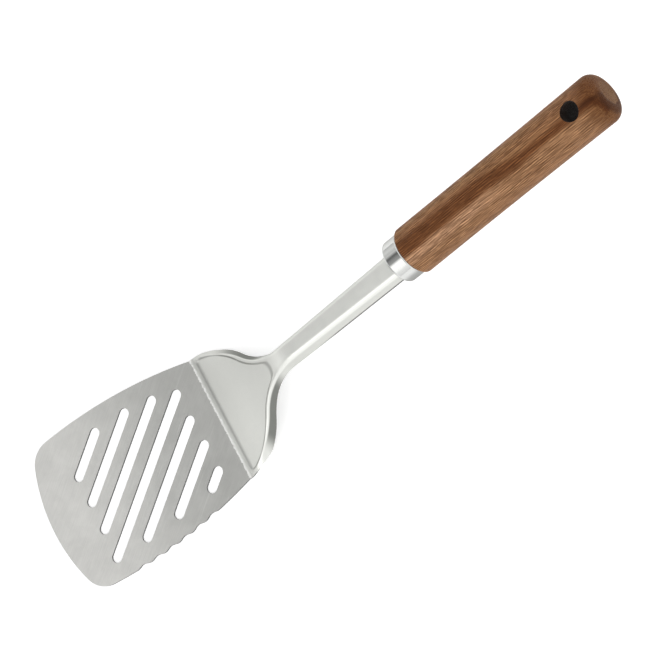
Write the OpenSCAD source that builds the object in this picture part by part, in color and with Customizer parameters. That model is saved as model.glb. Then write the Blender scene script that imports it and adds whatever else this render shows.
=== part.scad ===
// Slotted turner: one pressed steel sheet for blade, shoulder and shaft,
// a steel ferrule and a turned wooden handle held by a welded tang.
// Underside of the blade at z = 0, handle towards +X, serrated edge towards -Y.

/* [Sheet] */
// Thickness of the steel sheet
sheet_t = 1.2; // [0.8:0.1:1.6]

/* [Blade] */
// Length of the flat blade, from its tip to the bend
blade_len = 108; // [90:1:125]
// Half of the blade's greatest width
blade_half = 42.1; // [40:0.1:50]
// How far in front of the bend the blade is widest
blade_wide_at = 67.4; // [60:0.2:75]
// Radius of the long curve of each side
side_r = 275; // [240:5:400]
// Radius of the curved tip
tip_r = 94; // [85:1:120]
// Radius of the two front corners
corner_r = 13.5; // [8:0.5:16]

/* [Slots] */
// Width of a slot
slot_w = 5.6; // [4:0.1:6]
// Distance from one slot's centre line to the next
slot_pitch = 12; // [11:0.1:12.4]
// Angle of the slots to the length of the tool
slot_angle = 38.2; // [36:0.2:40]
// Distance from the bend's middle to the centre line of the slot nearest the tip
slot_first = 63.2; // [62:0.2:64]
// Length of each slot, from the tip towards the bend
slot_len = [29, 53, 74, 92, 67, 41.5, 14]; // [10:0.5:95]
// Place of each slot's middle along its centre line
slot_mid = [-43, -40, -39.3, -40.7, -37.5, -33.2, -28.6]; // [-45:0.1:-25]

/* [Serrated edge] */
// Distance from one hollow to the next
wave_pitch = 8.95; // [7:0.05:9.2]
// Depth of a hollow
wave_depth = 1.1; // [0.5:0.1:1.6]
// Number of hollows
wave_count = 6; // [3:1:6]
// Where the wave starts, measured from the bend towards the tip
wave_start = 76.1; // [74:0.1:80]

/* [Shoulder] */
// Rise of the shoulder above the blade, in degrees
shoulder_rise = 30; // [27:0.5:33]
// Radius of the bend between blade and shoulder
bend_r = 5.2; // [4:0.1:7]
// Half of the shoulder's width at the bend
shoulder_half = 33.9; // [33:0.1:35]
// Radius of the shoulder's outward curve, seen from above
shoulder_r = 40; // [36:1:44]
// Angle of that curve to the tool's length, at the bend
shoulder_lean = 2.4; // [0:0.2:5]
// Radius of the neck's inward curve, seen from above
neck_r = 32; // [26:1:38]
// Radius of the bend where the shoulder runs into the shaft
neck_bend_r = 40; // [20:1:60]
// Length over which the flanges fold down from flat
fold_len = 12; // [11:0.5:16]
// Angle of the folded flanges to the flat top
fold_angle = 82; // [75:1:86]
// Outer radius of the folded edge
fold_r = 2.6; // [2:0.1:3.2]
// Width of the flange before folding, as places along the tool and widths there
flange = [[0, 4], [17, 8.8], [42, 6.8], [62, 10.3], [133, 9.2]]; // [4:0.1:12]

/* [Shaft] */
// Half of the shaft's width at the neck
neck_half = 5.8; // [5:0.1:6.5]
// Widening of each side of the shaft for each millimetre of length
shaft_flare = 0.013; // [0:0.001:0.02]
// Height of the shaft's flat top over the handle's axis
shaft_top = 2.8; // [2:0.1:3.5]
// Where the pressed channel ends, measured from the bend
shaft_end = 133.8; // [130:0.1:134]
// Where the channel's flare becomes straight, measured from the bend
shaft_from = 64.5; // [62:0.5:70]

/* [Handle] */
// Angle of the handle to the blade
handle_rise = 15.3; // [12:0.1:18]
// Distance from the bend to the front of the wood
handle_at = 139.1; // [138:0.1:141]
// Height of the handle's axis at the front of the wood
handle_z = 52.5; // [45:0.5:58]
// Length of the wood behind the ferrule
handle_len = 118.8; // [100:0.2:140]
// Radius of the handle
handle_r = 11.95; // [11:0.05:13]
// How much thinner the handle's middle is, in radius
waist = 0.2; // [0:0.05:1]
// Rounding of the handle's front edge
front_round = 1.3; // [0.5:0.1:2]
// Rounding of the handle's butt
butt_round = 5.5; // [3:0.5:7]
// Diameter of the hanging hole
hang_d = 9; // [6:0.5:10]
// Distance from the front of the wood to the hanging hole
hang_at = 104.3; // [90:0.1:106]
// Length of the tenon that the wood has inside the ferrule
tenon_len = 4; // [3:0.5:6]

/* [Ferrule] */
// Radius of the ferrule
ferrule_r = 10.8; // [10:0.1:11]
// Length of the ferrule
ferrule_len = 9.3; // [8.5:0.1:12]
// Wall of the ferrule
ferrule_t = 0.8; // [0.6:0.1:1]
// Rounding of the ferrule's front edge
ferrule_round = 1.5; // [1:0.1:2]
// Length of the raised lip against the wood
lip_len = 1.2; // [0.8:0.1:2]
// Height of the raised lip
lip_h = 0.35; // [0.2:0.05:0.6]

/* [Tang] */
// Diameter of the tang rod
tang_d = 6; // [5:0.5:6]
// Length of the rod in front of the wood, under the shaft
tang_front = 34; // [20:1:50]
// Length of the rod inside the wood
tang_back = 64; // [40:1:70]
// Diameter of the hole bored for the rod
bore_d = 10; // [9.5:0.5:11]
// Depth of the bore behind the rod
bore_spare = 4; // [2:1:8]
// Length of the weld on each side of the rod
weld_len = 18; // [10:1:18]
// Distance from the rod's front end to the weld
weld_from = 2; // [1:1:6]
// Place of the weld's outer edge on the shaft's ceiling, from the centre line
weld_outer = 4.4; // [4:0.1:4.6]
// Place of the weld's inner edge, from the centre line
weld_inner = 0.9; // [0.5:0.1:1.5]

/* [Hidden] */
$fn = 96;

steel = [0.75, 0.75, 0.73];
polished = [0.86, 0.86, 0.86];
raw_steel = [0.6, 0.6, 0.6];
walnut = [0.55, 0.37, 0.25];
amber = [0.8, 0.68, 0.4];

// Spacing of the points along a curved edge, and the number of steps in an arc
edge_step = 1.5;
arc_steps = 12;
// How far a cutter passes the face that it cuts
cut_over = 1;
// Gap round the shaft in the ferrule, and gap between the rod and the shaft's ceiling
fit_gap = 0.1;
rod_gap = 0.05;

// The tool is centred along its length between the tip and the butt's lowest edge
butt_x = handle_at + (handle_len - butt_round) * cos(handle_rise)
    + (handle_r - butt_round) * sin(handle_rise) + butt_round;
mid_x = (butt_x - blade_len) / 2;

function ease(t) = let(u = min(1, max(0, t))) u * u * (3 - 2 * u);
function fan(centre, r, from, to) =
    [for (i = [0:arc_steps]) let(a = from + (to - from) * i / arc_steps) centre + r * [cos(a), sin(a)]];
function without_ends(list) = [for (i = [1:len(list) - 2]) list[i]];

// Outline of the blade: side curve, front corner and tip curve meet in tangents
side_c = [-blade_wide_at, blade_half - side_r];
tip_c = [tip_r - blade_len, 0];
tip_gap = tip_r - corner_r;
side_gap = side_r - corner_r;
apart = norm(side_c - tip_c);
swing = acos((tip_gap * tip_gap + apart * apart - side_gap * side_gap) / (2 * tip_gap * apart));
towards = atan2(side_c[1], side_c[0] - tip_c[0]);
corner_a = towards - swing + 360;
corner_c = tip_c + tip_gap * [cos(corner_a), sin(corner_a)];
side_a = atan2(corner_c[1] - side_c[1], corner_c[0] - side_c[0]);
corner_end = corner_c[0] + corner_r * cos(side_a);
function side_y(x) = side_c[1] + sqrt(side_r * side_r - pow(x - side_c[0], 2));

wave_end = wave_start - wave_count * wave_pitch;
function wave(x) = x < -wave_start || x > -wave_end ? 0
    : wave_depth * (1 - cos(360 * (x + wave_start) / wave_pitch)) / 2;
side_steps = ceil(-corner_end / (edge_step / 2));
side_x = [for (i = [0:side_steps]) corner_end * i / side_steps];
plain_side = [for (x = side_x) [x, side_y(x)]];
front_curve = concat(
    fan(corner_c, corner_r, side_a, corner_a),
    without_ends(fan(tip_c, tip_r, corner_a, 180)),
    fan(tip_c, tip_r, 180, 360 - corner_a),
    without_ends(fan([corner_c[0], -corner_c[1]], corner_r, 360 - corner_a, 360 - side_a)),
    [[corner_end, -corner_c[1] - corner_r * sin(side_a)]]);
wavy_side = [for (i = [side_steps - 1:-1:0]) [side_x[i], -side_y(side_x[i]) + wave(side_x[i])]];

// Height of the sheet's upper face along the centre line
bend_len = bend_r * sin(shoulder_rise);
bend_top = sheet_t + bend_r * (1 - cos(shoulder_rise));
shaft_top_0 = handle_z - handle_at * tan(handle_rise) + shaft_top / cos(handle_rise);
meet_x = (shaft_top_0 - bend_top + bend_len * tan(shoulder_rise))
    / (tan(shoulder_rise) - tan(handle_rise));
neck_tangent = neck_bend_r * tan((shoulder_rise - handle_rise) / 2);
neck_from = meet_x - neck_tangent * cos(shoulder_rise);
neck_to = meet_x + neck_tangent * cos(handle_rise);
neck_cx = neck_from + neck_bend_r * sin(shoulder_rise);
neck_cz = bend_top + (neck_from - bend_len) * tan(shoulder_rise) - neck_bend_r * cos(shoulder_rise);
function top_z(x) =
    x < bend_len ? sheet_t + bend_r - sqrt(bend_r * bend_r - x * x)
    : x < neck_from ? bend_top + (x - bend_len) * tan(shoulder_rise)
    : x < neck_to ? neck_cz + sqrt(neck_bend_r * neck_bend_r - pow(x - neck_cx, 2))
    : shaft_top_0 + x * tan(handle_rise);
function slope(x) =
    x < bend_len ? asin(x / bend_r)
    : x < neck_from ? shoulder_rise
    : x < neck_to ? asin((neck_cx - x) / neck_bend_r)
    : handle_rise;

// Half width of shoulder and shaft, seen from above: an outward and an inward arc, then a taper
shoulder_c = [-shoulder_r * sin(shoulder_lean), shoulder_half - shoulder_r * cos(shoulder_lean)];
neck_y = neck_half + neck_r;
neck_x = shoulder_c[0] + sqrt(pow(shoulder_r + neck_r, 2) - pow(neck_y - shoulder_c[1], 2));
arcs_meet = shoulder_c[0] + (neck_x - shoulder_c[0]) * shoulder_r / (shoulder_r + neck_r);
function half_width(x) =
    x < arcs_meet ? shoulder_c[1] + sqrt(shoulder_r * shoulder_r - pow(x - shoulder_c[0], 2))
    : x < neck_x ? neck_y - sqrt(neck_r * neck_r - pow(x - neck_x, 2))
    : neck_half + (x - neck_x) * shaft_flare;

// The flange: its width, how far it is folded, and points across it from the crease outwards
function flange_w(x) = let(
    i = x < flange[1][0] ? 0 : x < flange[2][0] ? 1 : x < flange[3][0] ? 2 : 3,
    a = flange[i], b = flange[i + 1])
    a[1] + (b[1] - a[1]) * ease((x - a[0]) / (b[0] - a[0]));
function fold(x) = fold_angle * ease(x / fold_len);
fold_steps = 5;
bend_steps = 4;
shaft_steps = 7;
fold_arc = fold_r * fold_angle * PI / 180;
function across(x) = concat([for (k = [0:fold_steps]) fold_arc * k / fold_steps], [flange_w(x)]);
// Place [y, z] at distance s across the flange, on the upper face (t = 0) or the lower (t = 1)
function flange_at(x, s, t) = let(
    a = fold(x),
    bent = fold_r * a * PI / 180,
    turn = s < bent ? s * 180 / PI / fold_r : a,
    straight = max(0, s - bent),
    crease_y = half_width(x) - fold_r * sin(a) - (flange_w(x) - bent) * cos(a),
    y = crease_y + fold_r * sin(turn) + straight * cos(turn),
    z = top_z(x) - fold_r * (1 - cos(turn)) - straight * sin(turn))
    [y - t * sheet_t * sin(turn), max(0, z - t * sheet_t * cos(turn) / cos(slope(x)))];
function flip(list) = [for (i = [len(list) - 1:-1:0]) list[i]];
function ring(x) = let(
    up = [for (s = across(x)) flange_at(x, s, 0)],
    low = [for (s = across(x)) flange_at(x, s, 1)])
    concat(
        [for (p = flip(up)) [x, p[0], p[1]]], [for (p = up) [x, -p[0], p[1]]],
        [for (p = flip(low)) [x, -p[0], p[1]]], [for (p = low) [x, p[0], p[1]]]);
stations = concat(
    [for (i = [0:bend_steps]) bend_len * i / bend_steps],
    [for (x = [bend_len + edge_step:edge_step:shaft_from]) x],
    [for (i = [1:shaft_steps]) shaft_from + (shaft_end - shaft_from) * i / shaft_steps]);

module pressed_shoulder() {
    n = 4 * (fold_steps + 2);
    half = n / 2 - 1;
    last = (len(stations) - 1) * n;
    front_cap = [for (k = [0:half - 1]) let(j = n - 1 - k) each [[k, k + 1, j], [k + 1, j - 1, j]]];
    back_cap = [for (f = front_cap) [last + f[0], last + f[2], last + f[1]]];
    skin = [for (i = [0:n:last - n], k = [0:n - 1]) let(j = (k + 1) % n) each
        [[i + k, i + n + j, i + j], [i + k, i + n + k, i + n + j]]];
    polyhedron(points = [for (x = stations) each ring(x)], faces = concat(front_cap, back_cap, skin));
}

module slot(k) {
    straight = slot_len[k] - slot_w;
    rotate([0, 0, slot_angle])
        translate([slot_mid[k], slot_first - k * slot_pitch, -cut_over]) {
            translate([-straight / 2, -slot_w / 2, 0])
                cube([straight, slot_w, sheet_t + 2 * cut_over]);
            for (end = [-1, 1])
                translate([end * straight / 2, 0, 0])
                    cylinder(d = slot_w, h = sheet_t + 2 * cut_over);
        }
}

// Turns a shape drawn along +Z, with its origin at the front of the wood, onto the handle's axis
module on_axis() {
    translate([handle_at, 0, handle_z]) rotate([0, 90 - handle_rise, 0]) children();
}

module blade_and_shaft() {
    color(steel) {
        difference() {
            linear_extrude(sheet_t) polygon(concat(plain_side, front_curve, wavy_side));
            for (k = [0:len(slot_len) - 1]) slot(k);
        }
        pressed_shoulder();
    }
}

rod_drop = tang_d / 2 + rod_gap - (shaft_top - sheet_t);
module rod(extra = 0) {
    translate([rod_drop, 0, -tang_front - extra])
        cylinder(d = tang_d, h = tang_front + tang_back + extra);
}

module tang_rod() {
    color(raw_steel) on_axis() rod();
}

// One bead on each side of the rod, filling the corner under the shaft's ceiling
module tang_welds() {
    ceiling = sheet_t - shaft_top;
    color(raw_steel) on_axis() difference() {
        for (side = [-1, 1])
            translate([0, 0, weld_from - tang_front])
                linear_extrude(weld_len)
                    polygon([[ceiling, side * weld_inner], [ceiling, side * weld_outer],
                        [rod_drop, side * tang_d / 2], [rod_drop, side * weld_inner]]);
        rod(cut_over);
    }
}

module ferrule() {
    inner = ferrule_r - ferrule_t;
    lip_r = ferrule_r + lip_h;
    bend = ferrule_round - ferrule_t;
    color(polished) on_axis() difference() {
        rotate_extrude() polygon(concat(
            [[0, -ferrule_len]],
            fan([ferrule_r - ferrule_round, ferrule_round - ferrule_len], ferrule_round, -90, 0),
            [[ferrule_r, -lip_len - lip_h], [lip_r, -lip_len], [lip_r, 0], [inner, 0]],
            fan([inner - bend, ferrule_round - ferrule_len], bend, 0, -90),
            [[0, ferrule_t - ferrule_len]]));
        shaft_slot();
    }
}

// The opening in the ferrule's front that the channel passes through
module shaft_slot() {
    half = neck_half + (handle_at - neck_x) * shaft_flare + fit_gap;
    high = shaft_top + fit_gap;
    low = flange_w(handle_at) - fold_r * (fold_angle * PI / 180 - 1) + fit_gap - shaft_top;
    deep = ferrule_t + 2 * cut_over;
    translate([0, 0, -ferrule_len - cut_over]) {
        translate([-high + fold_r, -half, 0]) cube([high - fold_r + low, 2 * half, deep]);
        translate([-high, -half + fold_r, 0]) cube([high, 2 * (half - fold_r), deep]);
        for (side = [-1, 1])
            translate([-high + fold_r, side * (half - fold_r), 0]) cylinder(r = fold_r, h = deep);
    }
}

module handle() {
    tenon_r = ferrule_r - ferrule_t;
    body_top = handle_len - butt_round;
    waist_steps = 12;
    color(walnut) on_axis() difference() {
        rotate_extrude() polygon(concat(
            [[0, -tenon_len], [tenon_r, -tenon_len], [tenon_r, 0]],
            fan([handle_r - front_round, front_round], front_round, -90, 0),
            [for (i = [1:waist_steps - 1])
                let(z = front_round + (body_top - front_round) * i / waist_steps)
                [handle_r - waist * sin(180 * i / waist_steps), z]],
            fan([handle_r - butt_round, body_top], butt_round, 0, 90),
            [[0, handle_len]]));
        translate([0, 0, -tenon_len - cut_over])
            cylinder(d = bore_d, h = tenon_len + cut_over + tang_back + bore_spare);
        translate([-handle_r - cut_over, 0, hang_at]) rotate([0, 90, 0])
            cylinder(d = hang_d, h = 2 * (handle_r + cut_over));
    }
}

// Fills the bore round the rod
module handle_adhesive() {
    color(amber) on_axis() difference() {
        translate([0, 0, -tenon_len]) cylinder(d = bore_d, h = tenon_len + tang_back + bore_spare);
        rod();
    }
}

module centred() {
    translate([-mid_x, 0, 0]) children();
}

centred() blade_and_shaft();
centred() tang_rod();
centred() tang_welds();
centred() ferrule();
centred() handle();
centred() handle_adhesive();
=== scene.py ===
from math import acos, asin, atan2, copysign, cos, hypot, pi, radians, sin, sqrt, tan

import bpy
from mathutils import Matrix, Vector


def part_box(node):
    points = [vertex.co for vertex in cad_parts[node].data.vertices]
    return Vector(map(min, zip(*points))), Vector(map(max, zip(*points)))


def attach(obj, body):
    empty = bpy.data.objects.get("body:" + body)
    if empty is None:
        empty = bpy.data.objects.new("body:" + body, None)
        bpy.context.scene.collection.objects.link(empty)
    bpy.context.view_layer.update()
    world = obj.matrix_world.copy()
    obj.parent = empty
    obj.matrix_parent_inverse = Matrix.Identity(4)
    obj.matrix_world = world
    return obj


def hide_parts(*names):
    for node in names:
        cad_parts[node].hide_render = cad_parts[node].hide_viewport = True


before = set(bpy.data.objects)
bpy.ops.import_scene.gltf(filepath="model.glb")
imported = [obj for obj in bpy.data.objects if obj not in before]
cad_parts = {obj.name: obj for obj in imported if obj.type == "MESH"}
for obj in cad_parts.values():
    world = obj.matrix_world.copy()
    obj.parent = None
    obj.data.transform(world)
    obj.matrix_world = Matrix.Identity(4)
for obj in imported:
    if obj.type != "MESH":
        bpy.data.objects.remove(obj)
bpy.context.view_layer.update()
print("frame loaded:", ", ".join(sorted(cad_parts)))


# Small tools for edit mode and modifiers

def deselectAll():
    if bpy.context.object and bpy.context.object.mode != "OBJECT":
        bpy.ops.object.mode_set(mode="OBJECT")
    bpy.ops.object.select_all(action="DESELECT")


def makeActive(*pieces):
    deselectAll()
    for piece in pieces:
        piece.select_set(True)
    bpy.context.view_layer.objects.active = pieces[0]


def namePiece(name):  # takes the primitive that was just added
    piece = bpy.context.object
    piece.name = piece.data.name = name
    return piece


def useModifier(piece, kind, **settings):
    makeActive(piece)
    modifier = piece.modifiers.new(kind.title(), kind)
    for key, value in settings.items():
        setattr(modifier, key, value)
    bpy.ops.object.modifier_apply(modifier=modifier.name)


def cutWith(piece, cutter):
    useModifier(piece, "BOOLEAN", operation="DIFFERENCE", solver="EXACT", object=cutter)
    bpy.data.objects.remove(cutter)


def mergeDoubles(piece, threshold):
    makeActive(piece)
    bpy.ops.object.mode_set(mode="EDIT")
    bpy.ops.mesh.select_all(action="SELECT")
    bpy.ops.mesh.remove_doubles(threshold=threshold)
    bpy.ops.mesh.normals_make_consistent(inside=False)
    bpy.ops.object.mode_set(mode="OBJECT")


def smoothPiece(piece, edgeRounding=0.0, sharpAngle=50):  # edges that turn by more degrees are rounded
    if edgeRounding:
        useModifier(piece, "BEVEL", width=edgeRounding, segments=2, limit_method="ANGLE",
                    angle_limit=radians(sharpAngle))
    makeActive(piece)
    bpy.ops.object.shade_smooth()
    useModifier(piece, "WEIGHTED_NORMAL", mode="FACE_AREA", weight=80)


def filledOutline(name, points):  # one face that has the points as its corners, in their order
    deselectAll()
    bpy.ops.mesh.primitive_circle_add(vertices=len(points), radius=1, fill_type="NGON")
    piece = namePiece(name)
    order = sorted(piece.data.vertices, key=lambda v: atan2(v.co.x, -v.co.y) % (2 * pi))
    for vertex, point in zip(order, points):
        vertex.co = point
    piece.data.update()
    return piece


def ease(t):  # 0 to 1 with soft ends
    t = min(1.0, max(0.0, t))
    return t * t * (3 - 2 * t)


def arcPoints(centre, radius, fromAngle, toAngle, steps):
    angles = [fromAngle + (toAngle - fromAngle) * i / steps for i in range(steps + 1)]
    return [(centre[0] + radius * cos(a), centre[1] + radius * sin(a)) for a in angles]


# The pressed sheet: blade, shoulder and channel-shaped shaft. Places are metres behind the bend.

sheet = {
    "thickness": 0.0012,
    "bladeLength": 0.108,
    "bladeHalf": 0.0421,
    "serratedHalf": 0.04207,
    "widestAt": 0.0674,  # in front of the bend
    "sideRadius": 0.275,
    "tipRadius": 0.094,
    "cornerRadius": 0.0135,
    "wavePitch": 0.00895,
    "waveDepth": 0.0011,
    "waveCount": 6,
    "waveStart": 0.0761,  # in front of the bend
    "slotWidth": 0.0056,
    "slotPitch": 0.012,
    "slotAngle": radians(38.2),
    "slotFirst": 0.0632,  # from the bend's middle, square to the slots
    "slotLengths": (0.029, 0.053, 0.074, 0.092, 0.067, 0.0415, 0.014),
    "slotMiddles": (-0.043, -0.040, -0.0393, -0.0407, -0.0375, -0.0332, -0.0286),
    "slotSteps": 48,
    "cutterDepth": 0.004,
    "rise": radians(30),
    "bendRadius": 0.0052,
    "shoulderHalf": 0.0339,
    "shoulderRadius": 0.040,
    "shoulderLean": radians(2.4),
    "neckRadius": 0.032,
    "neckBendRadius": 0.040,
    "neckHalf": 0.0058,
    "shaftFlare": 0.013,
    "shaftEnd": 0.1338,
    "foldLength": 0.020,
    "foldAngle": radians(82),
    "foldRadius": 0.0026,
    "shoulderFoldAngle": radians(62),  # the folds of the shoulder are more open and sharper
    "shoulderFoldRadius": 0.0017,
    "foldChange": (0.034, 0.056),  # from the shoulder's fold to the shaft's
    # the folded flange's width, by places behind the bend
    "flange": ((0, 0.0016), (0.005, 0.0024), (0.010, 0.0042), (0.0145, 0.0066), (0.019, 0.0086),
               (0.026, 0.0086), (0.042, 0.0068), (0.062, 0.0103), (0.133, 0.0092)),
    "edgeRounding": 0.00016,
}
grip = {
    "rise": radians(15.3),
    "front": 0.1391,  # from the bend to the front of the wood
    "height": 0.0525,  # of the axis at the front of the wood
    "shaftTop": 0.0028,  # the shaft's flat top over the axis
}
panel = {
    "front": 0.0031,
    "rimFront": 0.0018,  # width of the rim at the bend and at the neck
    "rimNeck": 0.00395,
    "rimFrom": 0.0026,
    "rimGrowsOver": 0.032,
    "apex": 0.0416,
    "apexRadius": 0.006,
    "depth": 0.0007,
    "wall": 0.0014,  # width of the sloped wall at the panel's sides, front and apex
    "frontWall": 0.0021,
    "cornerRadius": 0.0022,
    "apexWall": 0.0045,
}
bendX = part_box("blade_and_shaft")[0].x + sheet["bladeLength"]

# Side curve, front corner and tip curve meet in tangents
sideCentre = Vector((-sheet["widestAt"], sheet["bladeHalf"] - sheet["sideRadius"]))
tipCentre = Vector((sheet["tipRadius"] - sheet["bladeLength"], 0))
tipGap = sheet["tipRadius"] - sheet["cornerRadius"]
sideGap = sheet["sideRadius"] - sheet["cornerRadius"]
centresApart = (sideCentre - tipCentre).length
swing = acos((tipGap ** 2 + centresApart ** 2 - sideGap ** 2) / (2 * tipGap * centresApart))
cornerAngle = atan2(sideCentre.y, sideCentre.x - tipCentre.x) - swing + 2 * pi
cornerCentre = tipCentre + tipGap * Vector((cos(cornerAngle), sin(cornerAngle)))
sideAngle = atan2(cornerCentre.y - sideCentre.y, cornerCentre.x - sideCentre.x)
sideEnd = cornerCentre.x + sheet["cornerRadius"] * cos(sideAngle)


def bladeSide(x):
    return sideCentre.y + sqrt(sheet["sideRadius"] ** 2 - (x - sideCentre.x) ** 2)


def waveHollow(x):
    along = (x + sheet["waveStart"]) / sheet["wavePitch"]
    if not 0 < along < sheet["waveCount"]:
        return 0.0
    return sheet["waveDepth"] * (1 - cos(2 * pi * along)) / 2


# Height of the upper face along the centre line: bend, shoulder, neck bend, shaft
bendLength = sheet["bendRadius"] * sin(sheet["rise"])
bendTop = sheet["thickness"] + sheet["bendRadius"] * (1 - cos(sheet["rise"]))
shaftBase = (grip["height"] - grip["front"] * tan(grip["rise"])
             + grip["shaftTop"] / cos(grip["rise"]))
meetX = (shaftBase - bendTop + bendLength * tan(sheet["rise"])) / (
    tan(sheet["rise"]) - tan(grip["rise"]))
neckTangent = sheet["neckBendRadius"] * tan((sheet["rise"] - grip["rise"]) / 2)
neckFrom = meetX - neckTangent * cos(sheet["rise"])
neckTo = meetX + neckTangent * cos(grip["rise"])
neckBendX = neckFrom + sheet["neckBendRadius"] * sin(sheet["rise"])
neckBendZ = (bendTop + (neckFrom - bendLength) * tan(sheet["rise"])
             - sheet["neckBendRadius"] * cos(sheet["rise"]))


def topHeight(x):
    if x < 0:
        return sheet["thickness"]
    if x < bendLength:
        return sheet["thickness"] + sheet["bendRadius"] - sqrt(sheet["bendRadius"] ** 2 - x * x)
    if x < neckFrom:
        return bendTop + (x - bendLength) * tan(sheet["rise"])
    if x < neckTo:
        return neckBendZ + sqrt(sheet["neckBendRadius"] ** 2 - (x - neckBendX) ** 2)
    return shaftBase + x * tan(grip["rise"])


def topSlope(x):
    if x < 0:
        return 0.0
    if x < bendLength:
        return asin(x / sheet["bendRadius"])
    if x < neckFrom:
        return sheet["rise"]
    if x < neckTo:
        return asin((neckBendX - x) / sheet["neckBendRadius"])
    return grip["rise"]


# Half width seen from above: an outward arc, an inward arc and a slight taper
shoulderCentre = Vector((-sheet["shoulderRadius"] * sin(sheet["shoulderLean"]),
                         sheet["shoulderHalf"] - sheet["shoulderRadius"] * cos(sheet["shoulderLean"])))
neckY = sheet["neckHalf"] + sheet["neckRadius"]
arcsApart = sheet["shoulderRadius"] + sheet["neckRadius"]
neckX = shoulderCentre.x + sqrt(arcsApart ** 2 - (neckY - shoulderCentre.y) ** 2)
neckCentre = Vector((neckX, neckY))


def sheetHalf(x, inset=0.0):  # inset moves the line inwards, square to itself
    outer, inner = sheet["shoulderRadius"] - inset, sheet["neckRadius"] + inset
    arcsMeet = shoulderCentre.x + (neckX - shoulderCentre.x) * outer / arcsApart
    if x < 0 and inset == 0:
        return bladeSide(x)
    if x < arcsMeet:
        return shoulderCentre.y + sqrt(outer ** 2 - (x - shoulderCentre.x) ** 2)
    if x < neckX:
        return neckY - sqrt(inner ** 2 - (x - neckX) ** 2)
    return sheet["neckHalf"] - inset + (x - neckX) * sheet["shaftFlare"]


def flangeWidth(x):  # a smooth curve through the stops that never swings past them
    stops = sheet["flange"]
    i = max([k for k in range(len(stops) - 1) if x >= stops[k][0]], default=0)
    (start, startWidth), (end, endWidth) = stops[i], stops[i + 1]
    slopes = [(b[1] - a[1]) / (b[0] - a[0]) for a, b in zip(stops, stops[1:])]
    neighbours = slopes[max(i - 1, 0)], slopes[min(i + 1, len(slopes) - 1)]
    startSlope, endSlope = [0.5 * (slopes[i] + other) if slopes[i] * other > 0 else 0.0
                            for other in neighbours]
    span = end - start
    t = min(1.0, max(0.0, (x - start) / span))
    return ((2 * t ** 3 - 3 * t * t + 1) * startWidth + (t ** 3 - 2 * t * t + t) * span * startSlope
            + (3 * t * t - 2 * t ** 3) * endWidth + (t ** 3 - t * t) * span * endSlope)


def rimWidth(x):
    share = min(1.0, max(0.0, (x - panel["rimFrom"]) / panel["rimGrowsOver"]))
    return panel["rimFront"] + (panel["rimNeck"] - panel["rimFront"]) * (1 - (1 - share) ** 2)


def panelDepth(x, y):  # how far the pressed panel lies under the rim, 0 to 1
    rim = rimWidth(x)
    point = Vector((x, abs(y)))
    outward = sheet["shoulderRadius"] - rim - (point - shoulderCentre).length
    inward = (point - neckCentre).length - sheet["neckRadius"] - rim
    arcsMeet = shoulderCentre.x + (neckX - shoulderCentre.x) * (sheet["shoulderRadius"] - rim) / arcsApart
    side = outward if x < arcsMeet else inward
    front = (x - panel["front"]) * panel["wall"] / panel["frontWall"]
    corner = panel["cornerRadius"]
    inside = min(side, front)
    if side < corner and front < corner:
        inside = corner - hypot(corner - side, corner - front)
    cap = panel["apex"] - x - min(abs(y), panel["apexRadius"]) ** 2 / (2 * panel["apexRadius"])
    return ease(inside / panel["wall"] + 0.5) * ease(cap / panel["apexWall"] + 1)


def foldAt(x):  # angle, radius and arc of the fold, and how far from the centre line it starts
    start, end = sheet["foldChange"]
    share = ease((x - start) / (end - start))
    radius = sheet["shoulderFoldRadius"] + (sheet["foldRadius"] - sheet["shoulderFoldRadius"]) * share
    angle = sheet["shoulderFoldAngle"] + (sheet["foldAngle"] - sheet["shoulderFoldAngle"]) * share
    angle *= ease(x / sheet["foldLength"])
    arc = radius * angle
    crease = sheetHalf(x) - radius * sin(angle) - (flangeWidth(x) - arc) * cos(angle)
    return angle, radius, arc, crease


def sheetPoint(x, along):  # a point on the upper face, along metres across the sheet from its centre line
    sign, along = (-1 if along < 0 else 1), abs(along)
    angle, radius, arc, crease = foldAt(x)
    past = max(0.0, along - crease)
    turn = min(past / radius, angle)
    straight = max(0.0, past - arc)
    y = min(along, crease) + radius * sin(turn) + straight * cos(turn)
    drop = radius * (1 - cos(turn)) + straight * sin(turn)
    sunk = panel["depth"] * panelDepth(x, y)
    slope = topSlope(x)
    wave = waveHollow(x) * ease(along / crease) if sign < 0 else 0.0
    return Vector((bendX + x + sunk * sin(slope), sign * (y - wave),
                   topHeight(x) - drop - sunk * cos(slope)))


sheetGrid = {
    "columns": (14, 36, 12),  # from the centre line: panel, its wall with rim and fold, flange
    "rows": ((-0.006, 0.0, 8), (0.0, 0.008, 34), (0.008, 0.036, 46), (0.036, 0.047, 34),
             (0.047, 0.062, 30), (0.062, sheet["shaftEnd"], 10)),
    "creaseMargin": 0.0005,  # the close columns begin this far inside the panel's wall
    "cornerMargin": 1.2,  # and this many corner radii earlier at its front corners
    "cornerFrom": 0.005,
    "cornerOver": 0.006,
    "foldMargin": 0.0003,  # and end this far past the fold
    "leastPanel": 0.4,  # shares of the crease's place and of the flange that stay with the wide columns
    "leastFlange": 0.25,
    "sideSteps": 96,
    "cornerSteps": 14,
    "tipSteps": 60,
    "mergeDistance": 0.00002,
}


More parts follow.
